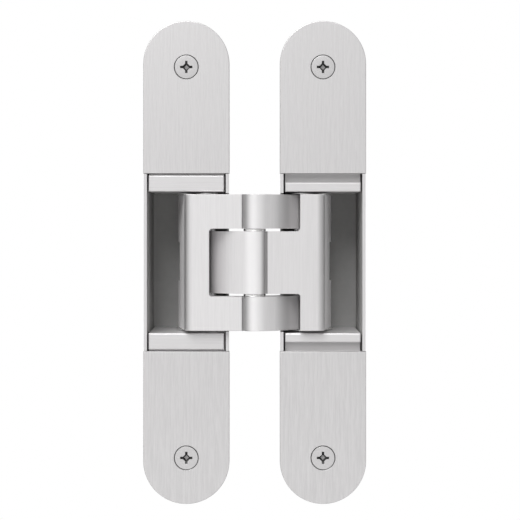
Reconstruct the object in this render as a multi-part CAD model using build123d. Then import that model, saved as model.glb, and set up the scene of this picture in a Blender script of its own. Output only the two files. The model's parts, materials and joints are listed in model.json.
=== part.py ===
# Concealed door hinge: two cups let into a door and its frame, a fork arm and a tongue arm that cross on a
# centre pin, and a short link that guides the deep end of each arm.  Modelled open at 180 degrees.
# X runs to the right, Y into the cups and Z up.  While modelling, X = 0 lies half way between the cups and
# Y = 0 on the cover faces.  On export the origin moves to the seat of the frame cup's flange.
import math
import os

from build123d import *

# Cups and covers, in millimetres.  Heights named _h are measured from the middle of the hinge.
plate_w = 28.0                      # width over a cover
plate_l = 156.9                     # length over both covers
plate_gap = 16.4                    # clear gap between the two cups when open
closed_gap = 5.94                   # gap between the cover faces when closed
cup_inset = 0.175                   # housing edge inside the cover edge
wall_t = 1.0
floor_t = 1.1
cavity_d = 31.6                     # depth of a cup from the cover face
cover_t = 2.5
flange_t = 3.0
window_h = 28.9                     # where the covers start
rim_y = 0.15                        # cup rim below the cover face
cover_edge = 0.3
cup_edge = 0.8

# Arms in plan and height.
arm_h = 22.1
tongue_h = 10.1
front_y = -2.4                      # flat front of the arms
arm_t = 5.0                         # thickness beside the centre
arm_t_out = 6.2                     # thickness where the full-height part starts
window_x = 14.8                     # where the full-height part starts
window_r = 1.0
corner_x = 22.65                    # outer side of the arm at its front corner
corner_r = 2.4
end_x, end_y = 22.3, 17.2           # centre of the arm's rounded deep end
end_r = 3.4
bow_r = 40.0                        # outer bow of the part that crosses into the other cup
arm_edge = 0.25

# Pivot points in plan, left half at the open pose.
centre = (0.0, -0.25)
arm_pivot = (-15.7, 10.75)
end_pivot = (-19.3, 18.6)
link_pivot_x = -17.3
eye_shift = (0.118, 0.054)          # link eye from the end pivot, shares out the path error of the fold

# Pins, barrels and clearances.
pin_r = 2.0
end_pin_r = 1.6
link_pin_r = 1.5
pin_edge = 0.3
knuckle_r = 4.0
barrel_r = 3.7
sleeve_r = 3.0
eye_r = 3.2
link_barrel_r = 2.6
link_web = 2.0                      # half thickness of the link's web
link_h = 6.0
washer_t = 0.8
washer_lip = 0.1                    # washer over the barrel's radius
centre_washer_r = 3.6
glide_lip = 0.55                    # glide disc over the arm's end
glide_stud_r = 1.2
glide_stud_l = 2.0
fit = 0.04                          # radial running clearance of the pivots
eye_play = 0.17                     # radial play of the link eye
side_play = 0.05                    # axial play beside a washer
sweep_gap = 0.45                    # room around what swings past
passing_gap = 0.9                   # room round the other arm's barrel and bow
floor_gap = 0.8                     # room between a link barrel and the cup floor
link_turns = range(70, 206, 15)     # directions of the link's web in the arm's end, in degrees
over = 1.0                          # cutters run past the faces they cut by this

# Blocks and fasteners.
block_gap = 0.5                     # room between a block and the cup walls
block_y = 0.6                       # block face below the cover face
block_slit = 0.5                    # slit between a block's face and the end of its cover
block_edge = 0.3
lip_h = 3.0                         # height of the lip on the door blocks
lip_d = 6.0                         # step behind that lip
foot_d = 5.6                        # depth of a block's foot beyond its seat
pin_land = 8.0                      # metal left beyond a blind pin hole
screw_r = 2.0
screw_head_r = 3.85
screw_inset = 14.95                 # cover screw from the plate's end
recess_l = 4.2
recess_t = 0.85
recess_d = 1.25
clamp_r = 2.5
clamp_head_r = 4.25
clamp_head_l = 5.0
clamp_key = 4.0                     # across flats
clamp_land = 1.8                    # metal beside a clamp screw's head
clamp_sink = 1.0                    # clamp screw's head below the stepped face
fix_x = 7.5                         # fixing holes from the plate's centre line
fix_r = 2.6
fix_head_r = 4.6
fix_land = 1.6                      # metal between a cup and a fixing hole
hole_gap = 0.1                      # clearance of screws in through holes

# What follows from the sizes above.
cup_x = (plate_gap + plate_w) / 2
cup_w = plate_w - 2 * cup_inset
cavity_w = cup_w - 2 * wall_t
block_w = cavity_w - 2 * block_gap
seat_y = cover_t + flange_t
step_y = cavity_d - foot_d
block_h = arm_h + washer_t + 2 * side_play
leg_h = tongue_h + washer_t + 2 * side_play
link_pivot = (link_pivot_x, cavity_d - link_barrel_r - floor_gap)
eye = (end_pivot[0] + eye_shift[0], end_pivot[1] + eye_shift[1])
clamp_h = window_h + clamp_head_r + clamp_land
block_end = clamp_h + clamp_head_r + clamp_land
clamp_y = block_y + lip_d + clamp_sink
foot_end = clamp_h - clamp_r - clamp_land
cavity_end = block_end + cavity_w / 2 - math.sqrt(cavity_w**2 - block_w**2) / 2 + block_gap
screw_h = plate_l / 2 - screw_inset
fix_h = cavity_end + wall_t + fix_land + fix_r
bar_slope = math.atan2(arm_pivot[1] - centre[1], centre[0] - arm_pivot[0])
notch_x = cup_x - cavity_w / 2
notch_y = centre[1] + notch_x * math.tan(bar_slope) + knuckle_r / math.cos(bar_slope) + sweep_gap

# Turn of the arms against each other between open and closed, from the place of the centre pin when closed.
bar_l = math.hypot(arm_pivot[0] - centre[0], arm_pivot[1] - centre[1])
closed_drop = arm_pivot[1] + closed_gap / 2
arm_turn = math.pi - math.asin(closed_drop / bar_l) - bar_slope
fold_turn = 2 * arm_turn - math.pi


def disc(p, r):
    return Pos(p[0], p[1]) * Circle(r)


def hull(*discs):
    edges = ShapeList()
    for d in discs:
        edges += d.edges()
    return make_hull(edges)


def prism(plan, z0, z1):
    return extrude(Pos(0, 0, z0) * plan, z1 - z0)


def plate(face, y0, y1):
    # extrudes a face drawn in X and Z from depth y0 to y1
    return extrude(Plane.XZ.offset(-y0) * face, y0 - y1)


def post(p, r, z0, z1):
    return prism(disc(p, r), z0, z1)


def ring(p, r, bore, z0, z1):
    return prism(disc(p, r) - disc(p, bore), z0, z1)


def pin(p, r, z0, z1):
    body = post(p, r, z0, z1)
    return chamfer(body.edges().filter_by(GeomType.CIRCLE), pin_edge)


def across(width, y0, y1, z0, z1):
    # box on the frame cup's centre line
    return Pos(-cup_x, (y0 + y1) / 2, (z0 + z1) / 2) * Box(width, y1 - y0, z1 - z0)


def cup_slot(length, width):
    return Pos(-cup_x, 0) * SlotOverall(length, width, rotation=90)


def on_cup(x, z, face):
    return Pos(-cup_x + x, z) * face


def cone_at(x, z, y, r0, r1):
    # 90 degree cone that narrows with depth, its wide end at depth y
    return Pos(-cup_x + x, y, z) * Rot(-90, 0, 0) * Pos(0, 0, (r0 - r1) / 2) * Cone(r0, r1, r0 - r1)


def to_door(solid):
    return mirror(solid, about=Plane.YZ)


def upside(solid):
    return mirror(solid, about=Plane.XY)


def both(solid):
    return solid, upside(solid)


def save(node, *solids):
    moved = [Pos(cup_x, -seat_y, 0) * s for s in solids]
    export_step(moved[0] if len(moved) == 1 else Compound(children=moved), f"parts/{node}.step")


def housing():
    cup = plate(cup_slot(2 * (cavity_end + wall_t), cup_w), cover_t, cavity_d + floor_t)
    cup = chamfer(cup.faces().sort_by(Axis.Y)[-1].edges(), cup_edge)
    rim_h = window_h - hole_gap
    body = cup + plate(cup_slot(plate_l - 2 * cup_inset, cup_w), cover_t, seat_y)
    body += across(cup_w, rim_y, seat_y, -rim_h, rim_h)
    body -= plate(cup_slot(2 * cavity_end, cavity_w), rim_y - over, step_y)
    foot_room = foot_end + block_gap
    body -= across(cavity_w, step_y - over, cavity_d, -foot_room, foot_room)
    notch = Pos(-notch_x + wall_t, 0) * Rectangle(4 * wall_t, 2 * (arm_h + sweep_gap))
    body -= plate(notch, rim_y - over, notch_y)
    for z in (-1, 1):
        body -= plate(on_cup(0, z * clamp_h, Circle(clamp_r)), step_y - over, cavity_d + floor_t + over)
        body -= plate(on_cup(0, z * screw_h, Circle(screw_r)), 0, seat_y + over)
        for x in (-fix_x, fix_x):
            body -= plate(on_cup(x, z * fix_h, Circle(fix_r)), 0, seat_y + over)
            body -= cone_at(x, z * fix_h, cover_t, fix_head_r, fix_r)
    return body


def cover():
    length = plate_l / 2 - window_h
    upper = Pos(-cup_x, window_h + length / 2) * Rectangle(plate_w, length)
    body = plate(cup_slot(plate_l, plate_w) & upper, 0, cover_t)
    body = chamfer(body.faces().sort_by(Axis.Y)[0].edges(), cover_edge)
    body -= plate(on_cup(0, screw_h, Circle(screw_r + hole_gap)), -over, cover_t + over)
    return body - cone_at(0, screw_h, 0, screw_head_r + hole_gap, screw_r + hole_gap)


def cover_screw():
    body = cone_at(0, screw_h, hole_gap / 2, screw_head_r, screw_r)
    body += plate(on_cup(0, screw_h, Circle(screw_r)), screw_head_r - screw_r, seat_y - hole_gap)
    cross = Rectangle(recess_l, recess_t) + Rectangle(recess_t, recess_l)
    return body - plate(on_cup(0, screw_h, cross), -over, recess_d)


def block(step_h, step_d):
    # guides the arms at one end of a cup and holds both pins; its face steps back by step_d beyond step_h
    body = across(block_w, block_y, cavity_d - hole_gap, block_h, block_end)
    body -= across(2 * block_w, block_y - over, block_y + step_d, step_h, block_end + over)
    body -= across(2 * block_w, step_y, cavity_d + over, foot_end, block_end + over)
    body = chamfer(body.faces().sort_by(Axis.Y)[0].edges(), block_edge)
    body -= post(arm_pivot, pin_r, block_h - over, block_end - pin_land + hole_gap)
    body -= post(link_pivot, link_pin_r, block_h - over, foot_end - clamp_land + hole_gap)
    body -= plate(on_cup(0, clamp_h, Circle(clamp_r + hole_gap)), 0, step_y + over)
    return body - plate(on_cup(0, clamp_h, Circle(clamp_head_r + hole_gap)), 0, clamp_y + clamp_head_l)


def clamp_screw():
    body = plate(on_cup(0, clamp_h, Circle(clamp_head_r)), clamp_y, clamp_y + clamp_head_l)
    body += plate(on_cup(0, clamp_h, Circle(clamp_r)), clamp_y + clamp_head_l - over, cavity_d)
    key = RegularPolygon(clamp_key / 2, 6, major_radius=False)
    return body - plate(on_cup(0, clamp_h, key), clamp_y - over, clamp_y + clamp_head_l / 2)


def bow():
    # swell of the crossing part: its outer side is an arc, tangent to the knuckle and to the far barrel
    near = Vector(*centre)
    far = Vector(-arm_pivot[0], arm_pivot[1])
    bar = far - near
    reach = bow_r - knuckle_r
    along = (bar_l**2 + reach**2 - (bow_r - barrel_r) ** 2) / (2 * bar_l)
    back = Vector(-bar.Y, bar.X) / bar_l
    hub = near + bar * (along / bar_l) + back * math.sqrt(reach**2 - along**2)
    start, crest, stop = (hub + spoke.normalized() * bow_r for spoke in (near - hub, -back, far - hub))
    return make_face([ThreePointArc(start, crest, stop), Line(stop, start)])


def arm_plan():
    # from the deep end round the front corner to the knuckle, then back to the pivot in the other cup
    corner = (-corner_x + corner_r, front_y + corner_r)
    side = hull(disc(corner, corner_r), disc((-end_x, end_y), end_r), disc(end_pivot, barrel_r))
    back, back_out = front_y + arm_t, front_y + arm_t_out
    front = [(corner[0], front_y), (0, front_y), (0, back), (-window_x, back_out), (corner[0], back_out)]
    swept = [arm_pivot]
    for turn in (-fold_turn / 2, -fold_turn):
        dx, dy = arm_pivot[0] - centre[0], arm_pivot[1] - centre[1]
        swept.append((centre[0] + dx * math.cos(turn) - dy * math.sin(turn),
                      centre[1] + dx * math.sin(turn) + dy * math.cos(turn)))
    plan = side + make_face(Polyline(*front, close=True))
    room = [disc(p, barrel_r + passing_gap) for p in swept]
    plan -= hull(room[0], room[1]) + hull(room[1], room[2])
    return plan + hull(disc(centre, knuckle_r), disc((-arm_pivot[0], arm_pivot[1]), barrel_r)) + bow()


def link_room():
    # space for the link's eye and web in the arm's end, over the whole swing of the link
    half = link_web + sweep_gap + eye_play
    room = disc(end_pivot, eye_r + sweep_gap)
    reach = 2 * (barrel_r + end_r)
    for turn in map(math.radians, link_turns):
        tip = (end_pivot[0] + reach * math.cos(turn), end_pivot[1] + reach * math.sin(turn))
        room += hull(disc(end_pivot, half), disc(tip, half))
    return room


def arm(centre_r, cut_h0, cut_h1):
    # both arms share a plan; beside the full-height part the heights from cut_h0 to cut_h1 are cut away
    body = prism(arm_plan(), -arm_h, arm_h)
    ends = body.faces().sort_by(Axis.Z)
    body = chamfer(ends[0].edges() + ends[-1].edges(), arm_edge)
    width = window_x + 2 * plate_w
    for z in (-1, 1):
        cut = RectangleRounded(width, cut_h1 - cut_h0, window_r)
        body -= plate(Pos(width / 2 - window_x, z * (cut_h0 + cut_h1) / 2) * cut, -plate_w, plate_w)
        body -= post((-end_x, end_y), glide_stud_r, z * arm_h - glide_stud_l, z * arm_h + glide_stud_l)
    body -= prism(link_room(), -link_h - sweep_gap, link_h + sweep_gap)
    body -= post(end_pivot, end_pin_r, -arm_h + pin_land, arm_h + over)
    body -= post(centre, centre_r, -arm_h - over, arm_h + over)
    return body - post((-arm_pivot[0], arm_pivot[1]), pin_r + fit, -arm_h - over, arm_h + over)


def link():
    body = post(link_pivot, link_barrel_r, -arm_h, arm_h) + post(eye, eye_r, -link_h, link_h)
    body += prism(hull(disc(link_pivot, link_web), disc(eye, link_web)), -link_h, link_h)
    body -= post(link_pivot, link_pin_r + fit, -arm_h - over, arm_h + over)
    return body - post(eye, end_pin_r + eye_play, -link_h - over, link_h + over)


def glide():
    disc_part = post((-end_x, end_y), end_r + glide_lip, arm_h, arm_h + washer_t)
    return disc_part + post((-end_x, end_y), glide_stud_r, arm_h - glide_stud_l, arm_h)


def pin_washer():
    z = arm_h + side_play
    return ring(arm_pivot, barrel_r + washer_lip, pin_r + fit, z, z + washer_t)


os.makedirs("parts", exist_ok=True)

arm_pin_h = block_end - pin_land
link_pin_h = foot_end - clamp_land
plain_step = (window_h - block_slit, cover_t + hole_gap - block_y)
lip_step = (block_h + lip_h, lip_d)
for side, step in (("frame", plain_step), ("door", lip_step)):
    place = to_door if side == "door" else lambda solid: solid
    save(f"{side}_housing", place(housing()))
    save(f"{side}_upper_cover", place(cover()))
    save(f"{side}_lower_cover", place(upside(cover())))
    save(f"{side}_cover_screws", *(place(s) for s in both(cover_screw())))
    save(f"{side}_upper_block", place(block(*step)))
    save(f"{side}_lower_block", place(upside(block(*step))))
    save(f"{side}_clamp_screws", *(place(s) for s in both(clamp_screw())))
    save(f"{side}_arm_pin", place(pin(arm_pivot, pin_r, -arm_pin_h, arm_pin_h)))
    save(f"{side}_pin_washers", *(place(s) for s in both(pin_washer())))
    save(f"{side}_link", place(link()))
    save(f"{side}_link_pin", place(pin(link_pivot, link_pin_r, -link_pin_h, link_pin_h)))

save("frame_pin_sleeves", *both(ring(arm_pivot, sleeve_r, pin_r + fit, tongue_h + 2 * side_play, arm_h)))
middle_h = leg_h - 2 * side_play
save("door_pin_sleeve", to_door(ring(arm_pivot, sleeve_r, pin_r + fit, -middle_h, middle_h)))

end_pin = pin(end_pivot, end_pin_r, -arm_h + pin_land, arm_h - pin_edge)
save("fork_arm", arm(pin_r + fit, -leg_h, leg_h))
save("fork_end_pin", end_pin)
save("fork_glides", *both(glide()))
save("tongue_arm", to_door(arm(pin_r, tongue_h, 3 * arm_h)))
save("tongue_end_pin", to_door(end_pin))
save("tongue_glides", *(to_door(s) for s in both(glide())))
save("centre_pin", pin(centre, pin_r, -arm_h + pin_edge, arm_h - pin_edge))
washer_z = tongue_h + side_play
save("centre_washers", *both(ring(centre, centre_washer_r, pin_r + fit, washer_z, washer_z + washer_t)))
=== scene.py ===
import json
import math

import bmesh
import bpy
from bpy.props import FloatProperty, FloatVectorProperty, IntProperty, PointerProperty
from mathutils import Matrix, Vector


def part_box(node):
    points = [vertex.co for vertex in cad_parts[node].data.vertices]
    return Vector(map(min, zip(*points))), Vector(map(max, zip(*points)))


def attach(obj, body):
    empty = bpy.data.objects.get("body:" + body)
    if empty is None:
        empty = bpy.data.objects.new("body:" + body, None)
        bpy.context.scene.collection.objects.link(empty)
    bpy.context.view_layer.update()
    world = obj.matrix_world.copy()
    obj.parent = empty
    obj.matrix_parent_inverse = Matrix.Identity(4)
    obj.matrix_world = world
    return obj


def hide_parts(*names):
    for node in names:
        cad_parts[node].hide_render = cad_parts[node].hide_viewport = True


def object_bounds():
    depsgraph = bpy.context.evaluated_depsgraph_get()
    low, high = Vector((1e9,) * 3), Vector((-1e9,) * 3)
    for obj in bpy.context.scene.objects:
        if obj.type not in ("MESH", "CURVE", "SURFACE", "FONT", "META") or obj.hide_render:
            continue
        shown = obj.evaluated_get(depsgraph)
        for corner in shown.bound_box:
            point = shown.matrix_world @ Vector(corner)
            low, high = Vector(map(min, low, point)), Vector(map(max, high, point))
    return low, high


bl_info = {
    "name": "Concealed Door Hinge",
    "version": (1, 0, 0),
    "blender": (4, 5, 0),
    "location": "3D View > Sidebar > Hinge",
    "description": "Dresses the CAD frame of a concealed door hinge in brushed and cast metal",
    "category": "Object",
}

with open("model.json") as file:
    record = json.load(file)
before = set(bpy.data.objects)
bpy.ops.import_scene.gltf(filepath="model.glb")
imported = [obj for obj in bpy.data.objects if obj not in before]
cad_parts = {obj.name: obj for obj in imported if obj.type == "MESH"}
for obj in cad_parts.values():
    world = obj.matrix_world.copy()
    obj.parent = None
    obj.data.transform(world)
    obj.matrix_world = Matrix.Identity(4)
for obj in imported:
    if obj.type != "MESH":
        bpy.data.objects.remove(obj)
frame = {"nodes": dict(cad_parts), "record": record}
cad_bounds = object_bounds()

SIDES = ("frame", "door")
ENDS = ("upper", "lower")
BODY_OF = {
    node: body
    for body, members in frame["record"]["behaviour"]["bodies"].items()
    for node in members
}
IMAGE_SIDE = 520
SENSOR = 36.0
BLACK = (0.0, 0.0, 0.0)
WHITE = (1.0, 1.0, 1.0)

# Nearly all values of a noise texture lie in this span.
NOISE_SPAN = (0.3, 0.7)
# Size of a brush's streak along X, Y and Z, and the depth of its scratches.
COVER_GRAIN = (0.0008, 0.0008, 0.014)
BLOCK_GRAIN = (0.02, 0.0005, 0.0004)
ARM_GRAIN = (0.0005, 0.0005, 0.02)
STEEL_GRAIN = (0.0009, 0.0009, 0.0003)
SCREW_GRAIN = (0.0006, 0.0006, 0.0006)
SCRATCH_DEPTH = 0.00002

# For each arm: the side of the centre pin that its crease is on, where the crease's painted shade
# starts, where the painted shade in the hollow behind the other arm starts, is deepest and ends,
# the tone of the painted shade on the outer corner, and the flank's tone, which is partly painted
# light.
# Places are along X from the centre pin; tones are shares of the flat's colour.
ARM_LOOKS = {
    "fork_arm": {
        "side": -1, "crease": 0.0004, "hollow": (0.0058, 0.0107, 0.0121),
        "corner": 0.62, "flank": 0.95,
    },
    "tongue_arm": {
        "side": 1, "crease": 0.0018, "hollow": (-0.0115, -0.0148, -0.016),
        "corner": 0.9, "flank": 1.2,
    },
}
# Shares of the flat's colour painted as shade in the hollow and in the crease.
HOLLOW_SHADE_TONE = 0.52
CREASE_SHADE_TONE = 0.44
# Depth and width of the point in the middle of the recess, as shares of the recess's own.
CORE_DEPTH = 1.3
CORE_WIDTH = 0.74

# Points nearer than this are one point.
SAME_PLACE = 1e-6
# Faces round a circle.
CUTTER_STEPS = 48
SCREW_STEPS = 64
WASHER_STEPS = 96
# Faces across a rounded edge.
CAST_STEPS = 2
MACHINED_STEPS = 3
# Edges that turn by more are rounded, and faces that turn by less are one face.
ROUNDED_FROM = math.radians(28)
FLAT_WITHIN = math.radians(0.6)
# Edges that turn by more degrees stay crisp.
COVER_CRISP = 30
SCREW_CRISP = 25
WASHER_CRISP = 40
# How far the rounding of a block's step reaches from its face.
STEP_REACH = 0.0003


class HingeSizes(bpy.types.PropertyGroup):
    """Small sizes that the finish of the pieces adds to the CAD frame."""

    cover_round: FloatProperty(
        name="Cover edge", description="Rounding of the front edge of the covers",
        default=0.00024, unit="LENGTH",
    )
    machined_round: FloatProperty(
        name="Machined edge", description="Rounding of the edges of arms, links and glide discs",
        default=0.00012, unit="LENGTH",
    )
    block_round: FloatProperty(
        name="Block edge", description="Rounding of the edges of the guide blocks",
        default=0.00018, unit="LENGTH",
    )
    solid_step: FloatProperty(
        name="Solid step", description="Depth of the step in the solids of the door blocks",
        default=0.006, unit="LENGTH",
    )
    shown_step: FloatProperty(
        name="Shown step", description="Depth of the step in the door blocks as it shows",
        default=0.0019, unit="LENGTH",
    )
    cast_round: FloatProperty(
        name="Cast edge", description="Rounding of the edges of the housings",
        default=0.0001, unit="LENGTH",
    )
    cast_draft: FloatProperty(
        name="Cast draft", description="How far the cups' side walls lean in at their floor",
        default=0.0007, unit="LENGTH",
    )
    rim_depth: FloatProperty(
        name="Rim depth", description="Depth of the ground front rim of the housings",
        default=0.0004, unit="LENGTH",
    )
    round_steps: IntProperty(
        name="Rounding steps", description="Faces across the rounded edge of a cover", default=4
    )
    arc_steps: IntProperty(
        name="Arc steps", description="Faces along a cover's round end and its hole", default=96
    )
    sink_lip: FloatProperty(
        name="Countersink lip", description="Broken edge of the countersunk holes",
        default=0.00015, unit="LENGTH",
    )
    hole_gap: FloatProperty(
        name="Hole gap", description="Radial clearance of the cover screws in their holes",
        default=0.0001, unit="LENGTH",
    )
    shank_radius: FloatProperty(
        name="Shank radius", description="Radius of the shank of a cover screw",
        default=0.002, unit="LENGTH",
    )
    crease_offset: FloatProperty(
        name="Crease offset",
        description="From the centre pin to the crease between an arm's knuckle and its flat",
        default=0.00355, unit="LENGTH",
    )
    crease_level: FloatProperty(
        name="Crease level",
        description="From the knuckle's front to the middle of the crease's round",
        default=0.00185, unit="LENGTH",
    )
    crease_radius: FloatProperty(
        name="Crease radius", description="Radius of the crease's round",
        default=0.00062, unit="LENGTH",
    )
    crown_reach: FloatProperty(
        name="Crown reach", description="Half width of the polished crown of the arms' knuckles",
        default=0.004, unit="LENGTH",
    )
    arm_flank: FloatProperty(
        name="Arm flank",
        description="From the centre pin to where the blasted outer side of an arm starts",
        default=0.0225, unit="LENGTH",
    )
    head_gap: FloatProperty(
        name="Head gap", description="Ring left open around a screw's head",
        default=0.00006, unit="LENGTH",
    )
    screw_round: FloatProperty(
        name="Screw edge", description="Width of the rounded edge of a screw's head",
        default=0.00018, unit="LENGTH",
    )
    recess_length: FloatProperty(
        name="Recess length", description="Length over the wings of the cross recess",
        default=0.0041, unit="LENGTH",
    )
    recess_width: FloatProperty(
        name="Recess width", description="Width of a wing of the cross recess",
        default=0.0008, unit="LENGTH",
    )
    recess_depth: FloatProperty(
        name="Recess depth", description="Depth of the cross recess", default=0.00085, unit="LENGTH"
    )
    washer_thickness: FloatProperty(
        name="Washer thickness", description="Thickness of the thin washers",
        default=0.0008, unit="LENGTH",
    )
    washer_fit: FloatProperty(
        name="Washer fit", description="Radial clearance of a washer on its pin",
        default=0.00004, unit="LENGTH",
    )
    washer_round: FloatProperty(
        name="Washer edge", description="Rounding of the edges of the washers",
        default=0.0002, unit="LENGTH",
    )


class HingeFinish(bpy.types.PropertyGroup):
    """Colours of the finishes."""

    cover_nickel: FloatVectorProperty(
        name="Cover nickel", description="Brushed nickel of the covers",
        subtype="COLOR", default=(0.69, 0.679, 0.682),
    )
    # The arms share one nickel; the fork's flats are painted lighter than the tongue's as painted
    # light.
    fork_lit_nickel: FloatVectorProperty(
        name="Fork nickel", description="Brushed nickel on the flats of the fork arm",
        subtype="COLOR", default=(0.83, 0.817, 0.821),
    )
    tongue_shaded_nickel: FloatVectorProperty(
        name="Tongue nickel", description="Brushed nickel on the flats of the tongue arm",
        subtype="COLOR", default=(0.78, 0.767, 0.771),
    )
    # Painted highlight: the crown is lighter than the flats.
    crown_highlight_nickel: FloatVectorProperty(
        name="Crown nickel", description="Smooth nickel on the crown of the arms' knuckles",
        subtype="COLOR", default=(0.99, 0.978, 0.982),
    )
    block_nickel: FloatVectorProperty(
        name="Block nickel", description="Brushed fronts of the guide blocks",
        subtype="COLOR", default=(0.74, 0.728, 0.732),
    )
    # Painted light: the faces behind the blocks' fronts are painted a little brighter.
    milled_nickel_brightened: FloatVectorProperty(
        name="Milled nickel", description="Milled faces of the blocks behind their fronts",
        subtype="COLOR", default=(0.76, 0.748, 0.752),
    )
    # Painted shade: the door blocks' step is painted darker.
    step_shade_nickel: FloatVectorProperty(
        name="Step nickel", description="Duller step of the door's guide blocks",
        subtype="COLOR", default=(0.51, 0.5, 0.503),
    )
    cast_grey: FloatVectorProperty(
        name="Cast grey", description="Cast and tumbled metal of the housings and links",
        subtype="COLOR", default=(0.46, 0.458, 0.452),
    )
    rim_nickel: FloatVectorProperty(
        name="Rim nickel", description="Ground front rim of the housings",
        subtype="COLOR", default=(0.71, 0.70, 0.704),
    )
    steel: FloatVectorProperty(
        name="Steel", description="Bright steel of clamp screws, pins and sleeves",
        subtype="COLOR", default=(0.72, 0.72, 0.725),
    )
    washer_steel: FloatVectorProperty(
        name="Washer steel", description="Polished steel of the thin washers",
        subtype="COLOR", default=(0.9, 0.895, 0.89),
    )
    screw_nickel: FloatVectorProperty(
        name="Screw nickel", description="Plated heads of the cover screws",
        subtype="COLOR", default=(0.65, 0.64, 0.643),
    )
    # Painted shade: the walls of the cross recess are painted nearly black.
    recess_painted_shade: FloatVectorProperty(
        name="Recess dark", description="Walls of the cross recess",
        subtype="COLOR", default=(0.05, 0.05, 0.05),
    )
    glide_white: FloatVectorProperty(
        name="Glide white", description="White plastic of the glide discs",
        subtype="COLOR", default=(0.92, 0.92, 0.91),
    )
    floor_pale: FloatVectorProperty(
        name="Floor", description="Pale floor under the hinge",
        subtype="COLOR", default=(0.9, 0.9, 0.9),
    )


class HingeStage(bpy.types.PropertyGroup):
    """Camera, floor, lamp and studio walls."""

    camera_distance: FloatProperty(
        name="Camera distance", description="From the cover faces to the camera",
        default=0.478, unit="LENGTH",
    )
    camera_height: FloatProperty(
        name="Camera height", description="Camera above the middle of the hinge",
        default=0.012, unit="LENGTH",
    )
    focal_pixels: FloatProperty(
        name="Focal length", description="Focal length in pixels of the square image",
        default=1472.0,
    )
    level_x: FloatProperty(
        name="Level point X",
        description="Image column that the camera looks straight at, in pixels",
        default=254.65,
    )
    level_y: FloatProperty(
        name="Level point Y", description="Image row that the camera looks straight at, in pixels",
        default=225.5,
    )
    floor_drop: FloatProperty(
        name="Floor drop", description="Floor below the middle of the hinge",
        default=0.3, unit="LENGTH",
    )
    floor_side: FloatProperty(
        name="Floor side", description="Side of the square floor", default=1.9, unit="LENGTH"
    )
    lamp_power: FloatProperty(
        name="Key lamp", description="Power of the large soft lamp above the camera",
        default=220.0, unit="POWER",
    )
    lamp_side: FloatProperty(
        name="Key lamp side", description="Side of the large soft lamp", default=3.3, unit="LENGTH"
    )
    lamp_place: FloatVectorProperty(
        name="Key lamp place",
        description="From the middle of the covers' fronts to the large soft lamp",
        default=(-1.2, -2.85, 3.3), unit="LENGTH",
    )
    front_light: FloatProperty(
        name="Front light", description="Brightness that metal mirrors from the front", default=0.32
    )
    window_light: FloatProperty(
        name="Window light",
        description="Brightness that metal mirrors from round the camera, added to the front light",
        default=0.44,
    )
    window_dip: FloatProperty(
        name="Window dip",
        description="How far below the camera's level the window light is centred",
        default=0.26, subtype="ANGLE",
    )
    left_light: FloatProperty(
        name="Left light", description="Brightness that metal mirrors from the left", default=0.72
    )
    right_light: FloatProperty(
        name="Right light", description="Brightness that metal mirrors from the right", default=0.3
    )
    above_light: FloatProperty(
        name="Light from above", description="Brightness that metal mirrors from above",
        default=0.36,
    )
    below_light: FloatProperty(
        name="Light from below", description="Brightness that metal mirrors from below", default=0.5
    )
    behind_light: FloatProperty(
        name="Light from behind", description="Brightness that metal mirrors from behind",
        default=0.7,
    )
    right_fill: FloatProperty(
        name="Right fill", description="Light on matt surfaces from the right", default=0.8
    )
    behind_fill: FloatProperty(
        name="Fill from behind", description="Light on matt surfaces from behind", default=0.6
    )


def add_node(tree, kind, **settings):
    made = tree.nodes.new(kind)
    for key, value in settings.items():
        setattr(made, key, value)
    return made


def connect(tree, value, socket):
    """Links the socket to another one, or sets its value."""
    if isinstance(value, bpy.types.NodeSocket):
        tree.links.new(value, socket)
    else:
        socket.default_value = value


def feed(tree, node, **values):
    """Links or sets the node's inputs by name."""
    for name, value in values.items():
        connect(tree, value, node.inputs[name.replace("_", " ")])


def add_math(tree, operation, *values):
    made = add_node(tree, "ShaderNodeMath", operation=operation)
    for socket, value in zip(made.inputs, values):
        connect(tree, value, socket)
    return made.outputs["Value"]


def add_range(tree, value, low, high, to_low, to_high):
    made = add_node(tree, "ShaderNodeMapRange", interpolation_type="SMOOTHSTEP")
    feed(tree, made, Value=value, From_Min=low, From_Max=high, To_Min=to_low, To_Max=to_high)
    return made.outputs["Result"]


def add_rise(tree, value, start, full):
    """A mask that rises from the start to the full value."""
    return add_range(tree, value, start, full, 0.0, 1.0)


def add_fall(tree, value, start, gone):
    """A mask that falls from the start to where it is gone."""
    return add_range(tree, value, start, gone, 1.0, 0.0)


def add_spread(tree, noise, low, high):
    """Spreads a noise from low to high."""
    return add_range(tree, noise, *NOISE_SPAN, low, high)


def add_colour_mix(tree, factor, first, second):
    made = add_node(tree, "ShaderNodeMix", data_type="RGBA")
    tree.links.new(factor, made.inputs["Factor"])
    for name, colour in (("A", first), ("B", second)):
        socket = next(s for s in made.inputs if s.name == name and s.type == "RGBA")
        if not isinstance(colour, bpy.types.NodeSocket):
            colour = (*colour, 1.0)
        connect(tree, colour, socket)
    return next(s for s in made.outputs if s.type == "RGBA")


def scaled(colour, share):
    return tuple(min(1.0, channel * share) for channel in colour)


def add_tones(tree, noise, colour, contrast):
    """The colour, darker and lighter by the contrast where the noise is low and high."""
    mask = add_spread(tree, noise, 0.0, 1.0)
    return add_colour_mix(tree, mask, scaled(colour, 1 - contrast), scaled(colour, 1 + contrast))


def add_place(tree):
    return add_node(tree, "ShaderNodeTexCoord").outputs["Object"]


def add_axis(tree, axis):
    """The place along one axis."""
    apart = add_node(tree, "ShaderNodeSeparateXYZ")
    feed(tree, apart, Vector=add_place(tree))
    return apart.outputs[axis]


def add_noise(tree, scale, detail):
    noise = add_node(tree, "ShaderNodeTexNoise")
    feed(tree, noise, Vector=add_place(tree), Scale=scale, Detail=detail)
    return noise.outputs["Fac"]


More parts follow.
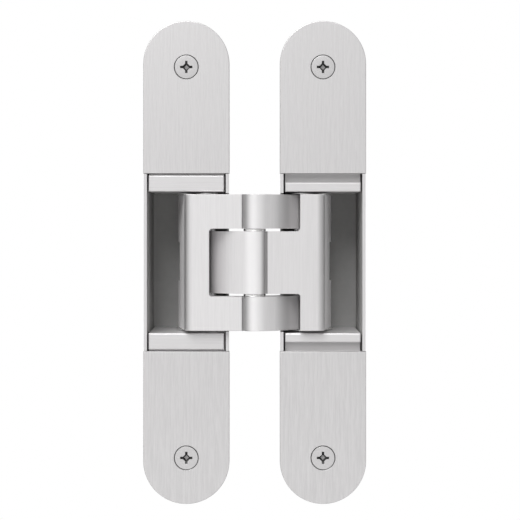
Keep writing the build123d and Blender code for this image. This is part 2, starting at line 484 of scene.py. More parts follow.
def brushed_grain_group():
    """Streaks of a brush: a slow tone and a fine scratch, along the vector's stretched axis."""
    if "brushed_grain" in bpy.data.node_groups:
        return bpy.data.node_groups["brushed_grain"]
    tree = bpy.data.node_groups.new("brushed_grain", "ShaderNodeTree")
    tree.interface.new_socket("Vector", in_out="INPUT", socket_type="NodeSocketVector")
    for name in ("Streak", "Scratch"):
        tree.interface.new_socket(name, in_out="OUTPUT", socket_type="NodeSocketFloat")
    vector = add_node(tree, "NodeGroupInput").outputs["Vector"]
    slow = add_node(tree, "ShaderNodeTexNoise")
    feed(tree, slow, Vector=vector, Scale=1.0, Detail=3.0, Roughness=0.6)
    fine = add_node(tree, "ShaderNodeTexNoise")
    feed(tree, fine, Vector=vector, Scale=4.0, Detail=2.0)
    scratch = fine.outputs["Fac"]
    fine_share = add_math(tree, "MULTIPLY", scratch, 0.3)
    streak = add_math(tree, "MULTIPLY_ADD", slow.outputs["Fac"], 0.7, fine_share)
    feed(tree, add_node(tree, "NodeGroupOutput"), Streak=streak, Scratch=scratch)
    return tree


def add_grain(tree, pitch):
    """The streak and the scratch of a brush; pitch is the size of a streak along X, Y and Z."""
    stretch = add_node(tree, "ShaderNodeMapping")
    feed(tree, stretch, Vector=add_place(tree), Scale=[1.0 / size for size in pitch])
    grain = add_node(tree, "ShaderNodeGroup", node_tree=brushed_grain_group())
    feed(tree, grain, Vector=stretch.outputs["Vector"])
    return grain.outputs["Streak"], grain.outputs["Scratch"]


def add_bump(tree, height, strength, distance):
    bump = add_node(tree, "ShaderNodeBump")
    feed(tree, bump, Height=height, Strength=strength, Distance=distance)
    return bump.outputs["Normal"]


def new_material(name, sheen=0.0):
    """A material, its tree and its shader; sheen is the share of light mirrored as by metal."""
    material = bpy.data.materials.new(name)
    material.use_nodes = True
    tree = material.node_tree
    shader = tree.nodes["Principled BSDF"]
    feed(tree, shader, Metallic=sheen)
    return material, tree, shader


def brushed_nickel(name, colour, pitch, contrast, sheen):
    """Nickel with the streaks of a brush in its tone, gloss and height."""
    material, tree, shader = new_material(name, sheen)
    streak, scratch = add_grain(tree, pitch)
    feed(
        tree, shader,
        Base_Color=add_tones(tree, streak, colour, contrast),
        Roughness=add_spread(tree, streak, 0.46, 0.38),
        Normal=add_bump(tree, scratch, 0.12, SCRATCH_DEPTH),
    )
    return material


def recolour(material, mask, colour):
    """Gives the material another colour where the mask is 1."""
    tree = material.node_tree
    base = tree.nodes["Principled BSDF"].inputs["Base Color"]
    tree.links.new(add_colour_mix(tree, mask, base.links[0].from_socket, colour), base)


def painted_shade_band(material, level, half, fade, colour):
    """Paints shade as a darker colour on what lies within half of the level along Y, with a fade
    beyond.
    """
    tree = material.node_tree
    offset = add_math(tree, "SUBTRACT", add_axis(tree, "Y"), level)
    distance = add_math(tree, "ABSOLUTE", offset)
    recolour(material, add_fall(tree, distance, half, half + fade), colour)


def milled_nickel_brightened(name, front, behind, level):
    """Brushed front faces, and milled faces behind the level along Y that are painted brighter as
    painted light.
    """
    material = brushed_nickel(name, front, BLOCK_GRAIN, contrast=0.04, sheen=0.55)
    tree = material.node_tree
    # The mask paints the faces behind the fronts a little brighter, as painted light.
    mask = add_rise(tree, add_axis(tree, "Y"), level, level + 0.0004)
    recolour(material, mask, behind)
    return material


def arm_nickel(name, flat, crown, middle, sizes, look):
    """Brushed flats, a polished crown with a painted highlight, blasted outer sides partly painted
    light, and painted shade in the hollow, the crease and the outer corner.

    Every place is a distance along X from the middle, the centre pin. The look is one of ARM_LOOKS.
    """
    material, tree, shader = new_material(name)
    streak, scratch = add_grain(tree, ARM_GRAIN)
    offset = add_math(tree, "SUBTRACT", add_axis(tree, "X"), middle)
    distance = add_math(tree, "ABSOLUTE", offset)
    smooth = add_fall(tree, distance, 0.3 * sizes.crown_reach, sizes.crown_reach)
    # Painted shade darkens the hollow of each arm's bow behind the other arm.
    start, deepest, end = look["hollow"]
    dips = add_rise(tree, offset, start, deepest)
    hollow = add_math(tree, "MULTIPLY", dips, add_range(tree, offset, deepest, end, 1.0, 0.8))
    # Painted shade darkens the crease beside the groove cut between knuckle and flat.
    along = add_math(tree, "MULTIPLY", offset, look["side"])
    groove = sizes.crease_offset
    sinks = add_rise(tree, along, look["crease"], groove)
    crease = add_math(tree, "MULTIPLY", sinks, add_fall(tree, along, groove, groove + 0.0009))
    # The outer corner turns away just before the flank, and painted shade darkens it there.
    flank = sizes.arm_flank
    corner = add_rise(tree, distance, flank - 0.0025, flank - 0.0004)
    # The flank is blasted and less metallic; its tone is partly painted light.
    blasted = add_rise(tree, distance, flank, flank + 0.0008)
    # The crown's lighter colour is a painted highlight; its lower roughness is polish.
    tone = add_colour_mix(tree, smooth, add_tones(tree, streak, flat, 0.03), crown)
    shares = (
        (hollow, HOLLOW_SHADE_TONE),
        (crease, CREASE_SHADE_TONE),
        (corner, look["corner"]),
        (blasted, look["flank"]),
    )
    for mask, share in shares:
        tone = add_colour_mix(tree, mask, tone, scaled(flat, share))
    sheen = add_range(tree, smooth, 0.0, 1.0, 0.65, 0.45)
    bare = add_range(tree, blasted, 0.0, 1.0, 1.0, 0.1)
    feed(
        tree, shader,
        Base_Color=tone,
        Metallic=add_math(tree, "MULTIPLY", sheen, bare),
        Roughness=add_range(tree, smooth, 0.0, 1.0, 0.4, 0.3),
        Normal=add_bump(tree, scratch, 0.1, SCRATCH_DEPTH),
    )
    return material


def cast_metal(name, colour, rim, level):
    """Cast and tumbled: matt, with a fine skin, and ground bright in front of the level along Y."""
    material, tree, shader = new_material(name, 0.35)
    skin = add_noise(tree, 2500.0, 4.0)
    cloud = add_noise(tree, 420.0, 2.0)
    ground = add_fall(tree, add_axis(tree, "Y"), level - 0.0002, level)
    polish = add_math(tree, "MULTIPLY", ground, 0.2)
    feed(
        tree, shader,
        Base_Color=add_colour_mix(tree, ground, add_tones(tree, cloud, colour, 0.02), rim),
        Roughness=add_math(tree, "SUBTRACT", add_spread(tree, skin, 0.54, 0.64), polish),
        Normal=add_bump(tree, skin, 0.15, 2 * SCRATCH_DEPTH),
    )
    return material


def bright_steel(name, colour, roughness):
    """Drawn and turned steel: fine marks that differ a little in tone and gloss."""
    material, tree, shader = new_material(name, 1.0)
    streak, _ = add_grain(tree, STEEL_GRAIN)
    feed(
        tree, shader,
        Base_Color=add_tones(tree, streak, colour, 0.04),
        Roughness=add_spread(tree, streak, 1.2 * roughness, 0.8 * roughness),
    )
    return material


def screw_nickel(name, colour, dark, level, depth):
    """Plated heads at the level along Y; painted shade blackens the recess walls, and a lighter
    painted shade covers the floor of its point.
    """
    material, tree, shader = new_material(name, 0.5)
    streak, _ = add_grain(tree, SCREW_GRAIN)
    sunk = add_math(tree, "SUBTRACT", add_axis(tree, "Y"), level)
    # Painted shade: the recess walls go nearly black below the head's face.
    walls = add_rise(tree, sunk, 0.00001, 0.0001)
    # The floor is the bottom of the point in the middle of the recess; it is painted a lighter
    # shade than the walls.
    floor = add_rise(tree, sunk, 0.887 * CORE_DEPTH * depth, 0.941 * CORE_DEPTH * depth)
    tone = add_colour_mix(tree, walls, add_tones(tree, streak, colour, 0.04), dark)
    feed(
        tree, shader,
        Base_Color=add_colour_mix(tree, floor, tone, scaled(colour, 0.6)),
        Roughness=add_spread(tree, streak, 0.42, 0.34),
    )
    return material


def glide_plastic(name, colour):
    """Slippery, polished white glides with a pearly sheen and a faint mottle."""
    material, tree, shader = new_material(name, 0.75)
    mottle = add_noise(tree, 900.0, 2.0)
    mask = add_spread(tree, mottle, 0.0, 1.0)
    feed(
        tree, shader,
        Base_Color=add_colour_mix(tree, mask, scaled(colour, 0.97), colour),
        Roughness=add_spread(tree, mottle, 0.07, 0.12),
    )
    return material


def shown(name, mesh):
    piece = bpy.data.objects.new(name, mesh)
    bpy.context.scene.collection.objects.link(piece)
    return piece


def settle(piece):
    """Turns the piece's modifiers into a plain mesh."""
    graph = bpy.context.evaluated_depsgraph_get()
    mesh = bpy.data.meshes.new_from_object(piece.evaluated_get(graph))
    before = piece.data
    piece.modifiers.clear()
    piece.data = mesh
    bpy.data.meshes.remove(before)
    mesh.name = piece.name


def stand_for(piece, node, material):
    """Gives the piece its material and puts it in the place of the CAD node."""
    piece.data.materials.clear()
    piece.data.materials.append(material)
    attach(piece, BODY_OF[node])
    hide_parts(node)


def finish_node(node, material):
    """Keeps the CAD node's own shape and gives it a material."""
    slots = frame["nodes"][node].data.materials
    slots.clear()
    slots.append(material)


def add_edge_rounding(piece, width, steps):
    bevel = piece.modifiers.new("edges", "BEVEL")
    bevel.width = width
    bevel.segments = steps
    bevel.limit_method = "ANGLE"
    bevel.angle_limit = ROUNDED_FROM
    bevel.miter_outer = "MITER_ARC"
    piece.modifiers.new("normals", "WEIGHTED_NORMAL").keep_sharp = True


def mesh_from(shape, name):
    """A new mesh with the shape, which is freed."""
    mesh = bpy.data.meshes.new(name)
    shape.to_mesh(mesh)
    shape.free()
    return mesh


def round_bar(name, x, y, radius, half):
    """An upright round bar, to cut with."""
    shape = bmesh.new()
    bmesh.ops.create_cone(
        shape,
        cap_ends=True,
        segments=CUTTER_STEPS,
        radius1=radius,
        radius2=radius,
        depth=2 * half,
        matrix=Matrix.Translation((x, y, 0.0)),
    )
    return shown(name, mesh_from(shape, name))


def cut_away(piece, cutter):
    """Takes the cutter's shape out of the piece, and then the cutter out of the scene."""
    cut = piece.modifiers.new("cut", "BOOLEAN")
    cut.operation = "DIFFERENCE"
    cut.solver = "EXACT"
    cut.object = cutter
    settle(piece)
    bpy.data.meshes.remove(cutter.data)


def refined_copy(node, width, steps, cutter=None):
    """A copy of the CAD node with whole flat faces, cut where asked, and with rounded edges."""
    mesh = frame["nodes"][node].data.copy()
    if "custom_normal" in mesh.attributes:
        mesh.attributes.remove(mesh.attributes["custom_normal"])
    shape = bmesh.new()
    shape.from_mesh(mesh)
    bmesh.ops.remove_doubles(shape, verts=shape.verts, dist=SAME_PLACE)
    bmesh.ops.dissolve_limit(
        shape, angle_limit=FLAT_WITHIN, verts=shape.verts, edges=shape.edges
    )
    for part in (*shape.faces, *shape.edges):
        part.smooth = True
    shape.to_mesh(mesh)
    shape.free()
    piece = shown(f"{node}_look", mesh)
    if cutter:
        cut_away(piece, cutter)
    add_edge_rounding(piece, width, steps)
    settle(piece)
    return piece


def lean_in(piece, lean):
    """Leans the side walls of a cast cup in towards its floor, so that it leaves its mould."""
    places = [vertex.co for vertex in piece.data.vertices]
    left, right = min(place.x for place in places), max(place.x for place in places)
    floor = max(place.y for place in places)
    for place in places:
        share = max(0.0, place.y / floor)
        if place.x < left + lean:
            place.x += share * lean
        elif place.x > right - lean:
            place.x -= share * lean


def lift_step(piece, level, rise):
    """Brings the stepped face of a block, at the level along Y, forward by the rise."""
    for vertex in piece.data.vertices:
        if abs(vertex.co.y - level) < STEP_REACH:
            vertex.co.y -= rise


def bridge(shape, first, second):
    count = len(first)
    for i in range(count):
        j = (i + 1) % count
        shape.faces.new((first[i], first[j], second[j], second[i]))


def loop_edges(shape, loop):
    return [shape.edges.get((loop[i - 1], loop[i])) for i in range(len(loop))]


def cover_shape(node, screw_node, sizes):
    """Cover with one full-round end, rounded front edge and countersunk hole."""
    low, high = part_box(node)
    screw_low, screw_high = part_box(screw_node)
    end = 1 if low.z > 0 else -1
    start, tip = sorted((abs(low.z), abs(high.z)))
    half = (high.x - low.x) / 2
    middle = (high.x + low.x) / 2
    head = (screw_high.x - screw_low.x) / 2
    screw_z = end * (screw_high.z - head)
    shape = bmesh.new()

    def outline(inset, depth):
        radius = half - inset
        points = [(-radius, start + inset), (radius, start + inset)]
        for step in range(sizes.arc_steps + 1):
            turn = math.pi * step / sizes.arc_steps
            points.append((radius * math.cos(turn), tip - half + radius * math.sin(turn)))
        return [shape.verts.new((middle + x, depth, end * z)) for x, z in points]

    def circle(radius, depth):
        points = []
        for step in range(sizes.arc_steps):
            turn = 2 * math.pi * step / sizes.arc_steps
            points.append((radius * math.cos(turn), screw_z + radius * math.sin(turn)))
        return [shape.verts.new((middle + x, depth, z)) for x, z in points]

    edge = sizes.cover_round
    outer = [outline(0.0, high.y)]
    for step in range(sizes.round_steps + 1):
        turn = math.pi / 2 * step / sizes.round_steps
        outer.append(outline(edge * (1 - math.cos(turn)), low.y + edge * (1 - math.sin(turn))))
    sink = head + sizes.hole_gap
    through = sizes.shank_radius + sizes.hole_gap
    lip = sizes.sink_lip
    inner = [
        circle(sink + lip, low.y),
        circle(sink, low.y + lip),
        circle(through, low.y + lip + sink - through),
        circle(through, high.y),
    ]
    for rings in (outer, inner):
        for first, second in zip(rings, rings[1:]):
            bridge(shape, first, second)
    for outline_loop, hole_loop in ((outer[0], inner[-1]), (outer[-1], inner[0])):
        rim = loop_edges(shape, outline_loop) + loop_edges(shape, hole_loop)
        bmesh.ops.triangle_fill(shape, use_beauty=True, edges=rim)
    bmesh.ops.recalc_face_normals(shape, faces=shape.faces)
    for face in shape.faces:
        face.smooth = True
    mesh = mesh_from(shape, f"{node}_look")
    mesh.set_sharp_from_angle(angle=math.radians(COVER_CRISP))
    piece = shown(f"{node}_look", mesh)
    piece.modifiers.new("normals", "WEIGHTED_NORMAL").keep_sharp = True
    settle(piece)
    return piece


def new_tree(name, sizes):
    """A Geometry Nodes tree, and its inputs: geometry, the named sizes and a material."""
    tree = bpy.data.node_groups.new(name, "GeometryNodeTree")
    floats = [(size, "Float") for size in sizes]
    for socket, kind in (("Geometry", "Geometry"), *floats, ("Material", "Material")):
        tree.interface.new_socket(socket, in_out="INPUT", socket_type=f"NodeSocket{kind}")
    tree.interface.new_socket("Geometry", in_out="OUTPUT", socket_type="NodeSocketGeometry")
    return tree, add_node(tree, "NodeGroupInput").outputs


def repeat_at_points(tree, ask, shape, rotation):
    """Ends a tree: the shape at each point of the geometry, as one mesh with the material."""
    copies = add_node(tree, "GeometryNodeInstanceOnPoints")
    feed(tree, copies, Points=ask["Geometry"], Instance=shape, Rotation=rotation)
    solid = add_node(tree, "GeometryNodeRealizeInstances")
    feed(tree, solid, Geometry=copies.outputs["Instances"])
    finish = add_node(tree, "GeometryNodeSetMaterial")
    feed(tree, finish, Geometry=solid.outputs["Geometry"], Material=ask["Material"])
    feed(tree, add_node(tree, "NodeGroupOutput"), Geometry=finish.outputs["Geometry"])


def grown(name, tree, points, values, sharp_from):
    """Runs the tree on the points with its named values, and keeps the plain mesh that it makes."""
    mesh = bpy.data.meshes.new(name)
    mesh.from_pydata(points, [], [])
    piece = shown(name, mesh)
    modifier = piece.modifiers.new("grow", "NODES")
    modifier.node_group = tree
    for item in tree.interface.items_tree:
        if item.in_out == "INPUT" and item.name in values:
            modifier[item.identifier] = values[item.name]
    settle(piece)
    piece.data.shade_smooth()
    piece.data.set_sharp_from_angle(angle=math.radians(sharp_from))
    return piece


def placed(tree, mesh, **values):
    moved = add_node(tree, "GeometryNodeTransform")
    feed(tree, moved, Geometry=mesh, **values)
    return moved.outputs["Geometry"]


def vector_of(tree, **values):
    made = add_node(tree, "ShaderNodeCombineXYZ")
    feed(tree, made, **values)
    return made.outputs["Vector"]


def turned(tree, rings):
    """A closed turned shape through rings, each a radius and a height, from lowest to highest."""
    join = add_node(tree, "GeometryNodeJoinGeometry")
    for (radius, low), (next_radius, high) in zip(rings, rings[1:]):
        cone = add_node(tree, "GeometryNodeMeshCone", fill_type="NONE")
        feed(tree, cone, Vertices=SCREW_STEPS, Radius_Bottom=radius, Radius_Top=next_radius)
        feed(tree, cone, Depth=add_math(tree, "SUBTRACT", high, low))
        band = placed(tree, cone.outputs["Mesh"], Translation=vector_of(tree, Z=low))
        feed(tree, join, Geometry=band)
    for (radius, height), turn in ((rings[0], math.pi), (rings[-1], 0.0)):
        disc = add_node(tree, "GeometryNodeMeshCircle", fill_type="NGON")
        feed(tree, disc, Vertices=SCREW_STEPS, Radius=radius)
        place = {"Translation": vector_of(tree, Z=height), "Rotation": (turn, 0.0, 0.0)}
        feed(tree, join, Geometry=placed(tree, disc.outputs["Mesh"], **place))
    whole = add_node(tree, "GeometryNodeMergeByDistance")
    feed(tree, whole, Geometry=join.outputs["Geometry"], Distance=SAME_PLACE)
    return whole.outputs["Geometry"]


def screw_tree():
    """Countersunk screws with a tapered cross recess; each screw's head looks along local Z."""
    recess = ("Recess Length", "Recess Width", "Recess Depth")
    sizes = ("Head Radius", "Shank Radius", "Length", "Rounding", *recess)
    tree, ask = new_tree("cover_screw_set", sizes)
    tip = add_math(tree, "MULTIPLY", ask["Length"], -1.0)
    head_depth = add_math(tree, "SUBTRACT", ask["Shank Radius"], ask["Head Radius"])
    rings = [(ask["Shank Radius"], tip), (ask["Shank Radius"], head_depth)]
    # In from the head's radius and down from its face, as shares of the rounding.
    for inward, deep in ((0.3, 0.7), (0.25, 0.42), (0.42, 0.14), (0.7, 0.03), (1.0, 0.0)):
        radius = add_math(tree, "MULTIPLY_ADD", ask["Rounding"], -inward, ask["Head Radius"])
        rings.append((radius, add_math(tree, "MULTIPLY", ask["Rounding"], -deep)))
    # A four-sided taper, 1 deep below the face, that each part of the recess scales.
    taper = add_node(tree, "GeometryNodeMeshCone")
    feed(tree, taper, Vertices=4, Radius_Top=0.55, Radius_Bottom=0.25, Depth=1.2)
    lowest = (0.0, 0.0, -1.0)
    eighth = (0.0, 0.0, math.pi / 4)
    wing = placed(tree, taper.outputs["Mesh"], Rotation=eighth, Translation=lowest)
    point = placed(tree, taper.outputs["Mesh"], Translation=lowest)
    across = add_math(tree, "MULTIPLY", ask["Recess Width"], math.sqrt(2.0))
    along = add_math(tree, "MULTIPLY", ask["Recess Length"], math.sqrt(2.0))
    core = add_math(tree, "MULTIPLY", ask["Recess Length"], CORE_WIDTH)
    depth = ask["Recess Depth"]
    core_depth = add_math(tree, "MULTIPLY", depth, CORE_DEPTH)
    cut = add_node(tree, "GeometryNodeMeshBoolean", operation="DIFFERENCE")
    feed(tree, cut, Mesh_1=turned(tree, rings))
    cutters = (
        (wing, along, across, depth),
        (wing, across, along, depth),
        (point, core, core, core_depth),
    )
    for mesh, x, y, z in cutters:
        feed(tree, cut, Mesh_2=placed(tree, mesh, Scale=vector_of(tree, X=x, Y=y, Z=z)))
    repeat_at_points(tree, ask, cut.outputs["Mesh"], (math.pi / 2, 0.0, 0.0))
    return tree


def washer_tree():
    """Thin washers with rounded edges, swept round a circle."""
    tree, ask = new_tree("washer_set", ("Outer Radius", "Bore Radius", "Thickness", "Rounding"))
    path = add_node(tree, "GeometryNodeCurvePrimitiveCircle")
    between = add_math(tree, "ADD", ask["Outer Radius"], ask["Bore Radius"])
    feed(tree, path, Resolution=WASHER_STEPS, Radius=add_math(tree, "MULTIPLY", between, 0.5))
    section = add_node(tree, "GeometryNodeCurvePrimitiveQuadrilateral")
    width = add_math(tree, "SUBTRACT", ask["Outer Radius"], ask["Bore Radius"])
    feed(tree, section, Width=width, Height=ask["Thickness"])
    soft = add_node(tree, "GeometryNodeFilletCurve", mode="POLY")
    feed(tree, soft, Curve=section.outputs["Curve"], Radius=ask["Rounding"], Count=3)
    swept = add_node(tree, "GeometryNodeCurveToMesh")
    feed(tree, swept, Curve=path.outputs["Curve"], Profile_Curve=soft.outputs["Curve"])
    repeat_at_points(tree, ask, swept.outputs["Mesh"], (0.0, 0.0, 0.0))
    return tree


def asked(context):
    """The sizes and the finishes that the user asks for."""
    return context.scene.hinge_sizes, context.scene.hinge_finish


class HINGE_OT_covers(bpy.types.Operator):
    """Builds the four brushed covers"""

    bl_idname = "hinge.covers"
    bl_label = "Covers"

    def execute(self, context):
        sizes, finish = asked(context)
        colour = finish.cover_nickel
        nickel = brushed_nickel("cover_nickel", colour, COVER_GRAIN, contrast=0.06, sheen=0.65)
        edge = sizes.cover_round
        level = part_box("frame_upper_cover")[0].y + edge
        # Painted shade darkens the covers' rounded front edge where it turns to the sides.
        painted_shade_band(nickel, level, half=0.6 * edge, fade=0.3 * edge, colour=scaled(colour, 0.4))
        for side in SIDES:
            for end in ENDS:
                node = f"{side}_{end}_cover"
                stand_for(cover_shape(node, f"{side}_cover_screws", sizes), node, nickel)
        return {"FINISHED"}


class HINGE_OT_cover_screws(bpy.types.Operator):
    """Builds the countersunk screws of the covers"""

    bl_idname = "hinge.cover_screws"
    bl_label = "Cover screws"

    def execute(self, context):
        sizes, finish = asked(context)
        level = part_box("frame_cover_screws")[0].y
        colours = (finish.screw_nickel, finish.recess_painted_shade)
        nickel = screw_nickel("screw_nickel", *colours, level, sizes.recess_depth)
        tree = screw_tree()
        for side in SIDES:
            node = f"{side}_cover_screws"
            low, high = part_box(node)
            head = (high.x - low.x) / 2
            middle = (high.x + low.x) / 2
            height = high.z - head
            values = {
                "Head Radius": head - sizes.head_gap,
                "Shank Radius": sizes.shank_radius,
                "Length": high.y - low.y,
                "Rounding": sizes.screw_round,
                "Recess Length": sizes.recess_length,
                "Recess Width": sizes.recess_width,
                "Recess Depth": sizes.recess_depth,
                "Material": nickel,
            }
            points = [(middle, low.y, height), (middle, low.y, -height)]
            stand_for(grown(f"{node}_look", tree, points, values, SCREW_CRISP), node, nickel)
        return {"FINISHED"}


class HINGE_OT_housings(bpy.types.Operator):
    """Dresses the two cast housings"""

    bl_idname = "hinge.housings"
    bl_label = "Housings"

    def execute(self, context):
        sizes, finish = asked(context)
        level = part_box("frame_housing")[0].y + sizes.rim_depth
        cast = cast_metal("housing_cast", finish.cast_grey, finish.rim_nickel, level)
        for side in SIDES:
            node = f"{side}_housing"
            cup = refined_copy(node, sizes.cast_round, CAST_STEPS)
            lean_in(cup, sizes.cast_draft)
            stand_for(cup, node, cast)
        return {"FINISHED"}


class HINGE_OT_blocks(bpy.types.Operator):
    """Dresses the four guide blocks"""

    bl_idname = "hinge.blocks"
    bl_label = "Guide blocks"

    def execute(self, context):
        sizes, finish = asked(context)
        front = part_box("door_upper_block")[0].y
        look = (finish.block_nickel, finish.milled_nickel_brightened, front + sizes.block_round)
        nickel = {side: milled_nickel_brightened(f"{side}_block_nickel", *look) for side in SIDES}
        step = front + sizes.shown_step
        # Painted shade darkens the door blocks' step, which shows shallower than its solid.
        painted_shade_band(nickel["door"], step, half=0.0002, fade=0.0003, colour=finish.step_shade_nickel)
        for side in SIDES:
            for end in ENDS:
                node = f"{side}_{end}_block"
                block = refined_copy(node, sizes.block_round, MACHINED_STEPS)
                if side == "door":
                    solid = front + sizes.solid_step
                    lift_step(block, solid, sizes.solid_step - sizes.shown_step)
                stand_for(block, node, nickel[side])
        return {"FINISHED"}


class HINGE_OT_arms(bpy.types.Operator):
    """Dresses the fork arm and the tongue arm"""

    bl_idname = "hinge.arms"
    bl_label = "Arms"

    def execute(self, context):
        sizes, finish = asked(context)
        low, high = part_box("centre_pin")
        middle = (low.x + high.x) / 2
        flats = {"fork_arm": finish.fork_lit_nickel, "tongue_arm": finish.tongue_shaded_nickel}
        for node, look in ARM_LOOKS.items():
            colours = (flats[node], finish.crown_highlight_nickel)
            nickel = arm_nickel(f"{node}_nickel", *colours, middle, sizes, look)
            low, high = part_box(node)
            place = (middle + look["side"] * sizes.crease_offset, low.y + sizes.crease_level)
            cutter = round_bar("crease", *place, sizes.crease_radius, high.z - low.z)
            arm = refined_copy(node, sizes.machined_round, MACHINED_STEPS, cutter)
            stand_for(arm, node, nickel)
        return {"FINISHED"}


class HINGE_OT_links(bpy.types.Operator):
    """Dresses the two guide links at the back of the cups"""

    bl_idname = "hinge.links"
    bl_label = "Guide links"

    def execute(self, context):
        sizes, finish = asked(context)
        # The links lie behind the level at the very front, so nothing of them is ground.
        level = cad_bounds[0][1]
        cast = cast_metal("link_cast", finish.cast_grey, finish.rim_nickel, level)
        for side in SIDES:
            node = f"{side}_link"
            stand_for(refined_copy(node, sizes.machined_round, CAST_STEPS), node, cast)
        return {"FINISHED"}


class HINGE_OT_pins(bpy.types.Operator):
    """Finishes pins, sleeves and clamp screws"""

    bl_idname = "hinge.pins"
    bl_label = "Pins, sleeves and clamp screws"

    def execute(self, context):
        steel = bright_steel("pin_steel", context.scene.hinge_finish.steel, roughness=0.24)
        nodes = ["centre_pin", "fork_end_pin", "tongue_end_pin"]
        nodes += ["frame_pin_sleeves", "door_pin_sleeve"]
        for side in SIDES:
            nodes += [f"{side}_arm_pin", f"{side}_link_pin", f"{side}_clamp_screws"]
        for node in nodes:
            finish_node(node, steel)
        return {"FINISHED"}


class HINGE_OT_washers(bpy.types.Operator):
    """Builds the thin washers on the arm pins and the centre pin"""

    bl_idname = "hinge.washers"
    bl_label = "Washers"

    def execute(self, context):
        sizes, finish = asked(context)
        steel = bright_steel("washer_steel", finish.washer_steel, roughness=0.09)
        tree = washer_tree()
        pins = {
            "frame_pin_washers": "frame_arm_pin",
            "door_pin_washers": "door_arm_pin",
            "centre_washers": "centre_pin",
        }
        for node, pin in pins.items():
            low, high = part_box(node)
            pin_low, pin_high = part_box(pin)
            middle = (low + high) / 2
            level = high.z - sizes.washer_thickness / 2
            values = {
                "Outer Radius": (high.x - low.x) / 2,
                "Bore Radius": (pin_high.x - pin_low.x) / 2 + sizes.washer_fit,
                "Thickness": sizes.washer_thickness,
                "Rounding": sizes.washer_round,
                "Material": steel,
            }
            points = [(middle.x, middle.y, level), (middle.x, middle.y, -level)]
            stand_for(grown(f"{node}_look", tree, points, values, WASHER_CRISP), node, steel)
        return {"FINISHED"}


class HINGE_OT_glides(bpy.types.Operator):
    """Dresses the white glide discs of the arms"""

    bl_idname = "hinge.glides"
    bl_label = "Glide discs"

    def execute(self, context):
        sizes, finish = asked(context)
        plastic = glide_plastic("glide_plastic", finish.glide_white)
        for node in ("fork_glides", "tongue_glides"):
            disc = refined_copy(node, sizes.machined_round, MACHINED_STEPS)
            stand_for(disc, node, plastic)
        return {"FINISHED"}


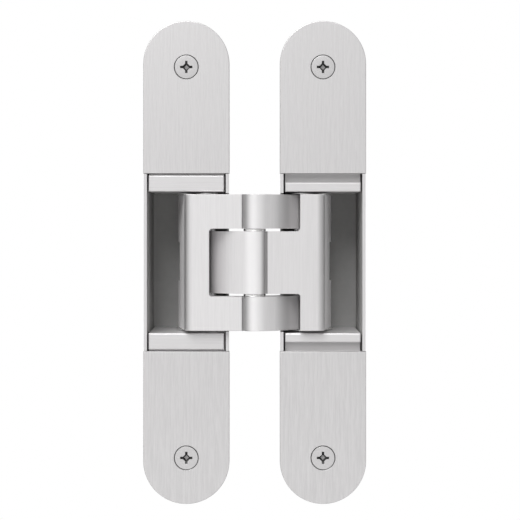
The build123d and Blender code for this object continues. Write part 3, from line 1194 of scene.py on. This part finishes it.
class HINGE_OT_stage(bpy.types.Operator):
    """Builds floor, light and camera"""

    bl_idname = "hinge.stage"
    bl_label = "Stage"

    def execute(self, context):
        stage = context.scene.hinge_stage
        low, high = cad_bounds
        middle = Vector(((low[0] + high[0]) / 2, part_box("frame_upper_cover")[0].y, 0.0))
        self.build_floor(context, stage, middle)
        self.build_world(context, stage)
        self.build_lamp(context, stage, middle)
        self.build_camera(context, stage, middle)
        context.scene.view_settings.view_transform = "Standard"
        return {"FINISHED"}

    def build_floor(self, context, stage, middle):
        """A pale square that takes the shadow and fades to white towards its rim."""
        half = stage.floor_side / 2
        centre = middle - Vector((0.0, 0.0, stage.floor_drop))
        square = ((-1, -1), (1, -1), (1, 1), (-1, 1))
        corners = [centre + half * Vector((x, y, 0.0)) for x, y in square]
        mesh = bpy.data.meshes.new("floor")
        mesh.from_pydata(corners, [], [(0, 1, 2, 3)])
        floor = shown("floor", mesh)
        material, tree, shader = new_material("floor_pale")
        span = add_node(tree, "ShaderNodeVectorMath", operation="DISTANCE")
        connect(tree, add_place(tree), span.inputs[0])
        connect(tree, centre, span.inputs[1])
        rim = add_rise(tree, span.outputs["Value"], 0.3 * half, 0.95 * half)
        pale = context.scene.hinge_finish.floor_pale
        feed(
            tree, shader,
            Base_Color=add_colour_mix(tree, rim, pale, BLACK),
            Emission_Color=add_colour_mix(tree, rim, BLACK, WHITE),
            Emission_Strength=1.0,
            Roughness=0.9,
        )
        mesh.materials.append(material)

    def build_world(self, context, stage):
        """White to the camera, a studio of soft walls to metal, and weak fill to matt surfaces."""
        world = bpy.data.worlds.new("studio")
        context.scene.world = world
        world.use_nodes = True
        tree = world.node_tree
        back = tree.nodes["Background"]
        towards = add_node(tree, "ShaderNodeTexCoord").outputs["Generated"]
        apart = add_node(tree, "ShaderNodeSeparateXYZ")
        feed(tree, apart, Vector=towards)
        right, behind, above = (apart.outputs[axis] for axis in "XYZ")
        dip = stage.window_dip
        window = add_node(tree, "ShaderNodeVectorMath", operation="DOT_PRODUCT")
        connect(tree, towards, window.inputs[0])
        connect(tree, (0.0, -math.cos(dip), -math.sin(dip)), window.inputs[1])
        path = add_node(tree, "ShaderNodeLightPath").outputs
        # Direction, where the wall starts and is full, its fill for matt surfaces, and its light.
        walls = (
            (behind, -0.3, -0.95, 0.0, stage.front_light),
            (window.outputs["Value"], 0.8, 1.0, 0.0, stage.window_light),
            (behind, 0.1, 0.7, stage.behind_fill, stage.behind_light),
            (right, -0.2, -0.9, 0.0, stage.left_light),
            (right, 0.2, 0.9, stage.right_fill, stage.right_light),
            (above, 0.2, 0.9, 0.0, stage.above_light),
            (above, -0.2, -0.9, 0.0, stage.below_light),
        )
        total = 0.0
        for direction, start, full, fill, light in walls:
            facing = add_rise(tree, direction, start, full)
            matt = add_math(tree, "MULTIPLY", path["Is Diffuse Ray"], fill)
            bright = add_math(tree, "MULTIPLY", path["Is Glossy Ray"], light)
            level = add_math(tree, "ADD", matt, bright)
            total = add_math(tree, "ADD", add_math(tree, "MULTIPLY", facing, level), total)
        rays = (path["Is Camera Ray"], path["Is Transmission Ray"])
        straight = add_math(tree, "MAXIMUM", *rays)
        unseen = add_math(tree, "MULTIPLY", add_math(tree, "SUBTRACT", 1.0, straight), total)
        feed(tree, back, Color=(*WHITE, 1.0), Strength=add_math(tree, "ADD", straight, unseen))

    def build_lamp(self, context, stage, middle):
        """One large soft lamp above the camera, a little to its left."""
        data = bpy.data.lights.new("key", "AREA")
        data.shape = "SQUARE"
        data.size = stage.lamp_side
        data.energy = stage.lamp_power
        lamp = bpy.data.objects.new("key", data)
        context.scene.collection.objects.link(lamp)
        place = Vector(stage.lamp_place)
        lamp.location = middle + place
        lamp.rotation_euler = (-place).to_track_quat("-Z", "Y").to_euler()

    def build_camera(self, context, stage, middle):
        data = bpy.data.cameras.new("camera")
        data.lens = stage.focal_pixels / IMAGE_SIDE * SENSOR
        data.sensor_width = SENSOR
        data.shift_x = (IMAGE_SIDE / 2 - stage.level_x) / IMAGE_SIDE
        data.shift_y = (stage.level_y - IMAGE_SIDE / 2) / IMAGE_SIDE
        camera = bpy.data.objects.new("camera", data)
        context.scene.collection.objects.link(camera)
        camera.location = middle + Vector((0.0, -stage.camera_distance, stage.camera_height))
        camera.rotation_euler = (math.pi / 2, 0.0, 0.0)
        context.scene.camera = camera


BUILDERS = (
    HINGE_OT_housings,
    HINGE_OT_covers,
    HINGE_OT_cover_screws,
    HINGE_OT_blocks,
    HINGE_OT_arms,
    HINGE_OT_links,
    HINGE_OT_pins,
    HINGE_OT_washers,
    HINGE_OT_glides,
    HINGE_OT_stage,
)


class HINGE_PT_builder(bpy.types.Panel):
    """Lists the builders of the hinge's pieces"""

    bl_label = "Concealed hinge"
    bl_idname = "HINGE_PT_builder"
    bl_space_type = "VIEW_3D"
    bl_region_type = "UI"
    bl_category = "Hinge"

    def draw(self, context):
        for builder in BUILDERS:
            self.layout.operator(builder.bl_idname)


SETTINGS = {"hinge_sizes": HingeSizes, "hinge_finish": HingeFinish, "hinge_stage": HingeStage}
CLASSES = (*SETTINGS.values(), *BUILDERS, HINGE_PT_builder)


def register():
    for made in CLASSES:
        bpy.utils.register_class(made)
    for name, group in SETTINGS.items():
        setattr(bpy.types.Scene, name, PointerProperty(type=group))


def unregister():
    for name in SETTINGS:
        delattr(bpy.types.Scene, name)
    for made in reversed(CLASSES):
        bpy.utils.unregister_class(made)


def main():
    register()
    for builder in BUILDERS:
        family, _, step = builder.bl_idname.partition(".")
        getattr(getattr(bpy.ops, family), step)()


if __name__ == "__main__":
    main()
